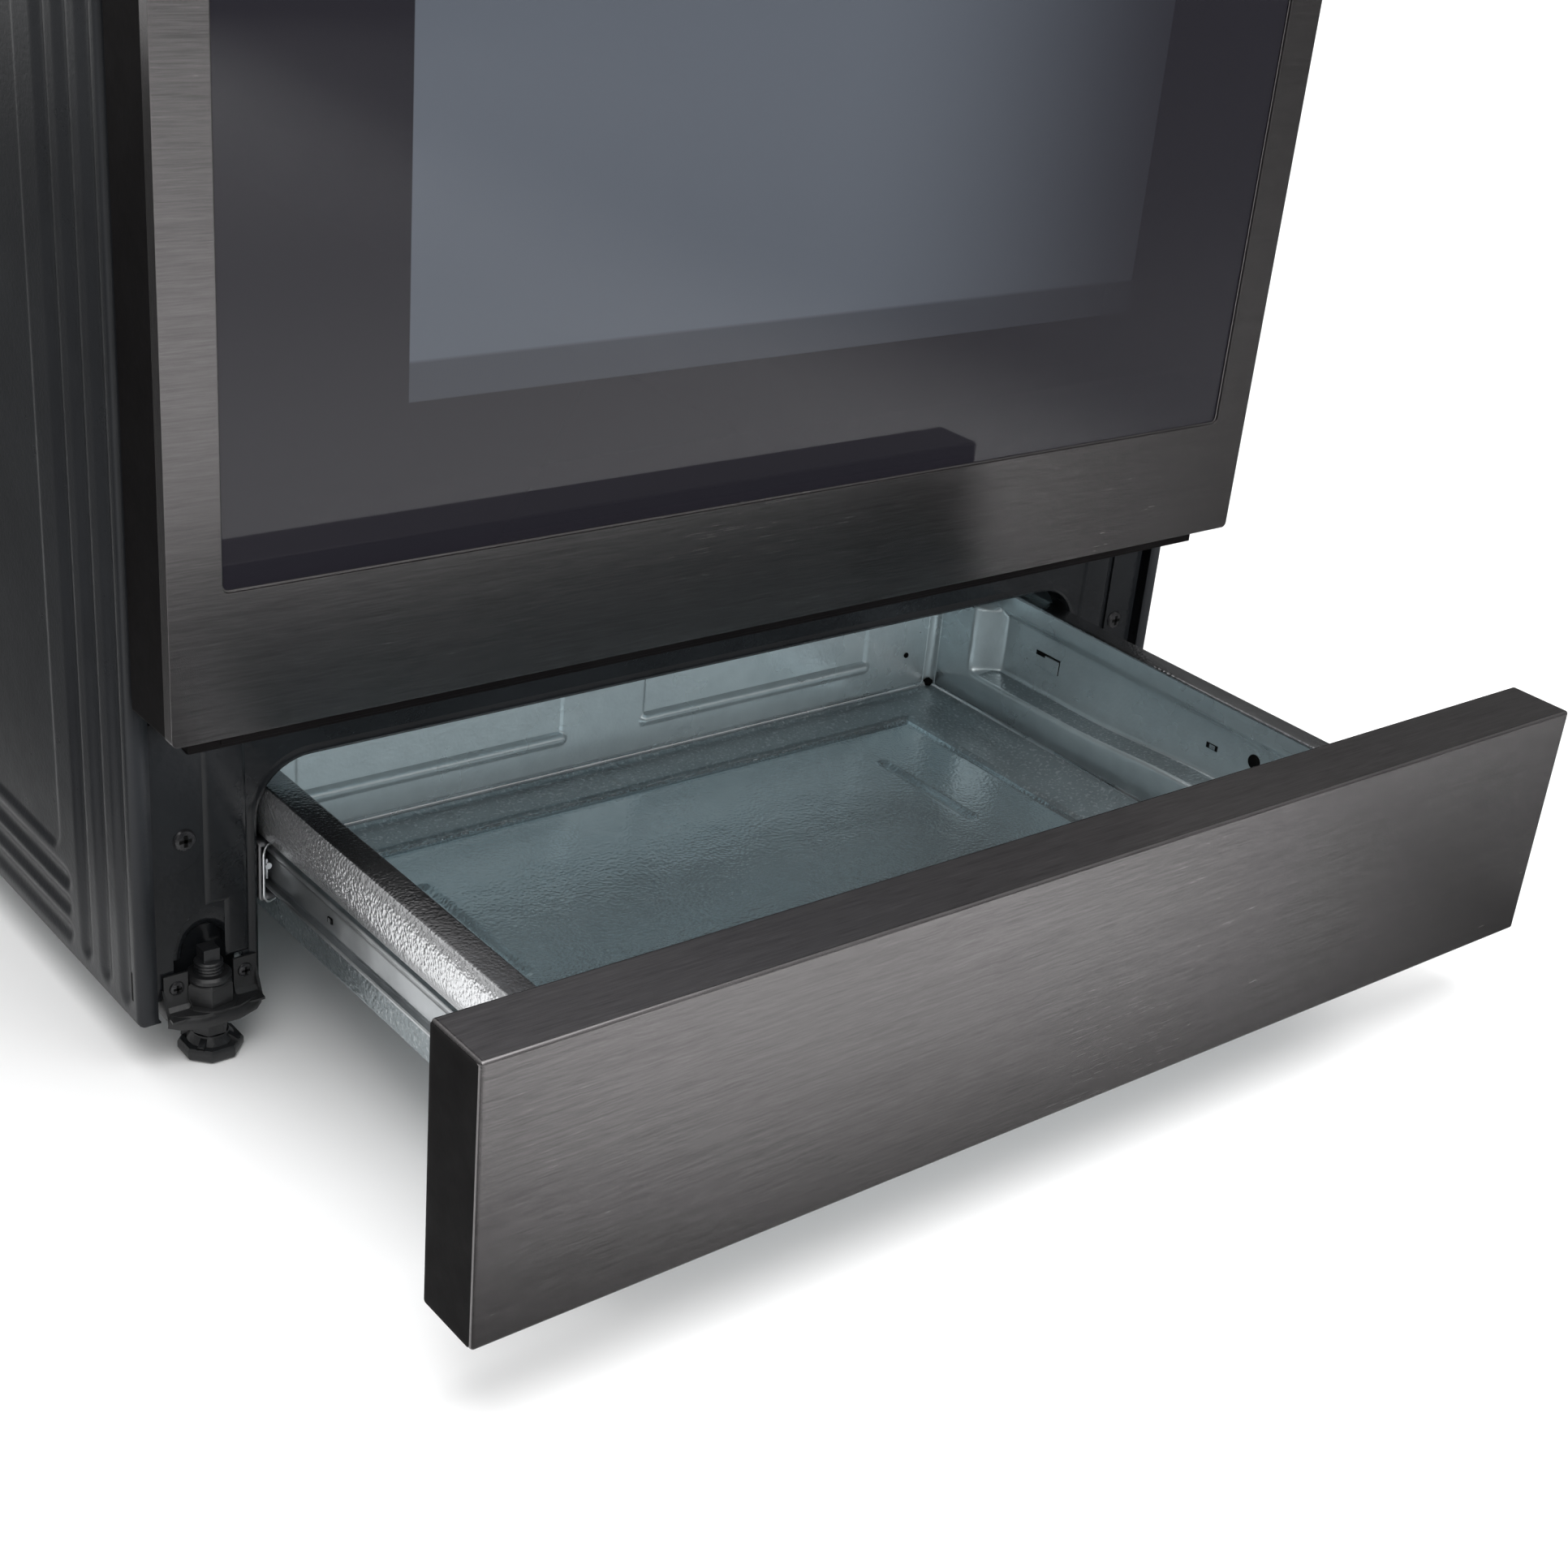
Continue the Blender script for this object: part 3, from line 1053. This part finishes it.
def bar(bm, a, b, z0, z1, wide=9.0, taper=1.6, drop=0.0):
    """A cast bar, narrower at the top, between two (x, y) points and lower at the first."""
    length = math.hypot(b[0] - a[0], b[1] - a[1])
    nx, ny = -(b[1] - a[1]) / length, (b[0] - a[0]) / length
    h = wide / 2
    rows = [[(px + nx * w, py + ny * w, z) for w, z in
             ((-h, z0), (-h + taper, top), (h - taper, top), (h, z0))]
            for (px, py), top in ((a, z1 - drop), (b, z1))]
    add_grid(bm, rows, 0, True)
    cap(bm, rows)


def grate(place, x0, x1):
    y0, y1, z0, z1, b = 16.0, 584.0, 930.0, 943.0, 9.0
    xm, ym = (x0 + x1) / 2, (y0 + y1) / 2
    bm = bmesh.new()
    for x in (x0 + b / 2, x1 - b / 2):
        bar(bm, (x, y0), (x, y1), z0, z1)
    for y in (y0 + b / 2, ym, y1 - b / 2):
        bar(bm, (x0, y), (x1, y), z0, z1)
    for c in ((y0 + ym) / 2, (ym + y1) / 2):
        rx, ry = (x1 - x0) / 2 - 5, (ym - y0) / 2 - 5
        for sx, sy in ((1, 0), (-1, 0), (0, 1), (0, -1)):
            reach = rx if sx else ry
            bar(bm, (xm + sx * 22, c + sy * 22), (xm + sx * reach, c + sy * reach), z0 + 1, z1, 7.6,
                1.2, 2.4)
        if rx > 90:
            for sx in SIDES:
                for sy in SIDES:
                    bar(bm, (xm + sx * 34, c + sy * 34), (xm + sx * (rx - 1), c + sy * (ry * 0.72)),
                        z0 + 1, z1 - 0.4, 7.0, 1.2, 2.4)
    for x in (x0 + b / 2, x1 - b / 2):
        for y in (y0 + b / 2, ym, y1 - b / 2):
            rows = [[(x + sx * w, y + sy * w, z) for sx, sy in ((-1, -1), (1, -1), (1, 1), (-1, 1))]
                    for w, z in ((3.4, 902.2), (4.2, 903.4), (4.5, 931))]
            add_grid(bm, rows, 0, True)
            bm.faces.new([bm.verts.new(p) for p in rows[0]])
    make_piece("iron_grate_" + place, bm, ["iron"], place + "_grate",
               ["grate_" + place], bevel=1.3, merge=False)


def knob(i):
    """Round skirt with a bore for the stem, a grip bar and its mark."""
    x, z = (i - 3) * KNOB_PITCH, KNOB_Z
    bm = bmesh.new()
    turn = [(0, -25.9), (4.3, -25.9), (4.3, -4.6), (24.2, -4.6), (25, -5.4), (24.4, -7.6),
            (21.6, -8.4), (20.9, -10), (20.2, -22.6), (19.4, -23.8), (17.8, -24.2), (5.2, -24.2),
            (5.2, -26.6), (0, -26.6)]
    add_lathe(bm, turn, (x, 0, z), "y", 64)
    grip = rounded_rect(-6, -20, 6, 20, 5.4, 8)
    rows = [[(x + px * k, y, z + pz * (1 - (1 - k) * 0.3)) for px, pz in grip]
            for y, k in ((-23, 1.0), (-34, 0.9), (-36.8, 0.82), (-38, 0.62))]
    add_grid(bm, rows, 0, True)
    bm.faces.new([bm.verts.new(p) for p in rows[-1]])
    add_box(bm, (x - 0.7, -37.9, z + 8), (x + 0.7, -36.2, z + 18.4), 1)
    make_piece("control_knob_%d" % i, bm, ["knob", "mark"], "knob_%d" % i,
               ["knob_%d" % i], bevel=0.5, segments=2, merge=False)


def panel_marks():
    """Generic setting marks beside the knobs and generic touch symbols on the display."""
    bm = bmesh.new()
    for i in range(1, 6):
        x, z = (i - 3) * KNOB_PITCH, KNOB_Z
        for k in range(28):
            a = math.radians(90 - 20 - k * 9.4)
            long = 5.0 * (1 - k / 34)
            c, s = math.cos(a), math.sin(a)
            r0, w = 30.0, 0.35 + 0.5 * (1 - k / 28)
            add_grid(bm, [[(x + (r0 + r) * c - q * s, -0.25, z + (r0 + r) * s + q * c)
                           for q in (-w, w)] for r in (0, long)])
        add_lathe(bm, [(2.2, -0.3), (2.2, -0.05)], (x, 0, z + 33), "y", 20)
    make_piece("panel_marks", bm, ["mark"], "range_body", merge=False)
    bm = bmesh.new()
    y = 597.6
    for i in (-5, -4, -3, -2, -1, 1, 2, 3, 4, 5):
        x = i * 52.0 + (18 if i > 0 else -18)
        for z in (1040, 1110):
            ring = [(x + 8.5 * math.cos(a), y, z + 8.5 * math.sin(a))
                    for a in sweep(0, math.tau, 32)[:-1]]
            add_tube(bm, ring, 0.35, 6, close=True)
            for k in range(1 + (abs(i) + (z > 1100)) % 3):
                left = x - 3.4 + 2.8 * k
                add_box(bm, (left, y - 0.2, z - 3), (left + 1.2, y + 0.2, z + 3))
    segments = {"a": (-4, 8, 4, 9.2), "b": (4, 0.6, 5.2, 8), "c": (4, -8, 5.2, -0.6),
                "d": (-4, -9.2, 4, -8), "e": (-5.2, -8, -4, -0.6), "f": (-5.2, 0.6, -4, 8),
                "g": (-4, -0.6, 4, 0.6)}
    for cx, lit in ((-27, "bc"), (-11, "abged"), (11, "abcdef"), (27, "abcdef")):
        for key in lit:
            ax, az, bx, bz = segments[key]
            add_box(bm, (cx + ax, y - 0.2, 1078 + az), (cx + bx, y + 0.2, 1078 + bz))
    for z in (1074, 1082):
        add_box(bm, (-0.8, y - 0.2, z - 0.8), (0.8, y + 0.2, z + 0.8))
    make_piece("display_marks", bm, ["mark"], "range_body", merge=False)


def keep(name, mat, bevel):
    """A CAD node that stays: procedural material and softened edges."""
    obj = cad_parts[name]
    obj.data.materials.clear()
    obj.data.materials.append(M[mat])
    if bevel:
        weld = obj.modifiers.new("weld", "WELD")
        weld.merge_threshold = 0.00002
        bevel_edges(obj, bevel, 2, 40)


def flag(name, corners, fades, depth=0.94):
    """A dark studio card that only reflections see; each fade is (axis, clear at, dark at)."""
    mesh = four_corners(name, corners)
    card = add_object(name, mesh)
    mat, tree, shader = new_material(name)
    tree.nodes.remove(shader)
    axes = object_axes(tree)
    clear, dark = node(tree, "ShaderNodeBsdfTransparent"), node(tree, "ShaderNodeBsdfDiffuse")
    dark.inputs["Color"].default_value = (0.02, 0.02, 0.02, 1)
    blend = node(tree, "ShaderNodeMixShader")
    share = depth
    for axis, clear_at, dark_at in fades:
        share = times(tree, share, remap(tree, axes[axis], clear_at, dark_at, 0, 1, True))
    tree.links.new(share, blend.inputs[0])
    tree.links.new(clear.outputs[0], blend.inputs[1])
    tree.links.new(dark.outputs[0], blend.inputs[2])
    tree.links.new(blend.outputs[0], tree.nodes["Material Output"].inputs["Surface"])
    mesh.materials.append(mat)
    card.visible_camera = card.visible_diffuse = card.visible_shadow = False
    card.visible_transmission = False


def level_card(x0, x1, y0, y1, z):
    return [(x0, y0, z), (x1, y0, z), (x1, y1, z), (x0, y1, z)]


# ---------- the scene ----------

make_camera()
side_panel(-1)
side_panel(1)
front_frame()
frame_screws()
leg_brackets()
for corner, x, y in (("front_left", -LEG_X, 60), ("front_right", LEG_X, 60),
                     ("rear_left", -LEG_X, 612), ("rear_right", LEG_X, 612)):
    leg(corner, x, y)
slides()
drawer_box()
drawer_front()
door_parts()
door_channel()
door_handle()
burners()
grate("left", -364.5, -122)
grate("center", -120, 120)
grate("right", 122, 364.5)
for number in range(1, 6):
    knob(number)
panel_marks()

for name, mat, bevel in (
        ("back_panel", "galvanised", 0.3), ("base_frame", "galvanised", 0.3),
        ("oven_cavity", "gloss", 0.0), ("oven_insulation", "wool", 0.0),
        ("oven_floor", "gloss", 0.0), ("rack_guides", "chrome", 0.4), ("rack_upper", "chrome", 0.0),
        ("rack_lower", "chrome", 0.0), ("oven_burners", "zinc", 0.0),
        ("convection_fan", "zinc", 0.0), ("fan_cover", "gloss", 0.0), ("fan_motor", "zinc", 0.0),
        ("oven_lamp", "clear", 0.0), ("vent_duct", "galvanised", 0.3), ("door_liner", "gloss", 0.8),
        ("inner_glass", "clear", 0.3), ("door_hinges", "zinc", 0.3),
        ("hinge_receivers", "zinc", 0.3), ("door_gasket", "braid", 0.0), ("cooktop", "gloss", 1.6),
        ("control_panel", "steel", 1.2), ("gas_valves", "brass", 0.4),
        ("manifold_pipe", "aluminium", 0.0), ("pressure_regulator", "aluminium", 0.8),
        ("power_inlet", "plastic", 0.5), ("backguard", "steel", 1.6),
        ("display_unit", "display", 0.8),
        *[("valve_stem_%d" % i, "brass", 0.0) for i in range(1, 6)]):
    keep(name, mat, bevel)

# plain pale floor, white surroundings and four soft lights
plane = four_corners("floor", level_card(-14, 14, -14, 14, 0))
floor = add_object("floor", plane)
floor_mat, floor_tree, floor_shader = new_material("pale_floor")
finish_shader(floor_tree, floor_shader, mix_colour(floor_tree, noise_node(floor_tree, 3.0),
              (0.90, 0.90, 0.90), (0.92, 0.92, 0.92)), 0.8, specular=0.1)
plane.materials.append(floor_mat)
world = bpy.data.worlds.new("studio")
scene.world = world
world.use_nodes = True
sky = world.node_tree
coord = node(sky, "ShaderNodeTexCoord")
split = node(sky, "ShaderNodeSeparateXYZ")
sky.links.new(coord.outputs["Generated"], split.inputs[0])
upward = remap(sky, split.outputs["Z"], 0.05, 0.9, 0.42, 1.0, True)
sideways = remap(sky, math_node(sky, "ABSOLUTE", split.outputs["X"]), 0.4, 0.9, 1.0, 0.6, True)
sky.links.new(times(sky, upward, sideways), sky.nodes["Background"].inputs["Strength"])
sky.nodes["Background"].inputs["Color"].default_value = (1, 1, 1, 1)
area_light("overhead", (-0.2, -1.0, 3.2), (-0.1, -0.5, 0), (3.4, 3.0), 88)
area_light("key", (-2.0, -3.0, 2.6), (0, 0, 0.3), (1.6, 1.6), 14)
area_light("front_fill", (0.3, -3.3, 0.8), (-0.1, 0, 0.12), (1.8, 0.9), 95).visible_glossy = False
area_light("backdrop", (3.2, 3.6, 3.4), (3.0, 3.0, 0), (4, 4), 110).visible_glossy = False

# dark cards that shade the reflections; those that overlap lie at different heights
flag("flag_right", level_card(0.1, 5, -1, 1.5, 0.004),
     [("X", 0.14, 0.58), ("Y", -0.88, -0.64)], 0.86)
flag("flag_far_right", level_card(0.6, 8, -14, 1.5, 0.005), [("X", 0.7, 1.15)], 0.7)
flag("flag_far_front", level_card(-8, 8, -14, -0.7, 0.006), [("Y", -0.75, -1.8)], 0.55)
flag("flag_left", level_card(-3, -0.39, -0.05, 3, 0.004),
     [("X", -0.39, -0.5), ("Y", -0.05, 0.1)])
flag("flag_front", level_card(-0.7, 0.5, -0.72, -0.487, 0.007), [("Y", -0.70, -0.50)], 0.8)
flag("flag_front_left", level_card(-0.9, -0.1, -1.1, -0.487, 0.008),
     [("X", -0.12, -0.45), ("Y", -1.0, -0.62)], 0.62)
flag("flag_back", [(0.45, 0.9, 0), (5, 0.9, 0), (5, 0.9, 3), (0.45, 0.9, 3)],
     [("X", 0.5, 1.0)], 0.85)
scene.view_settings.view_transform = "Standard"
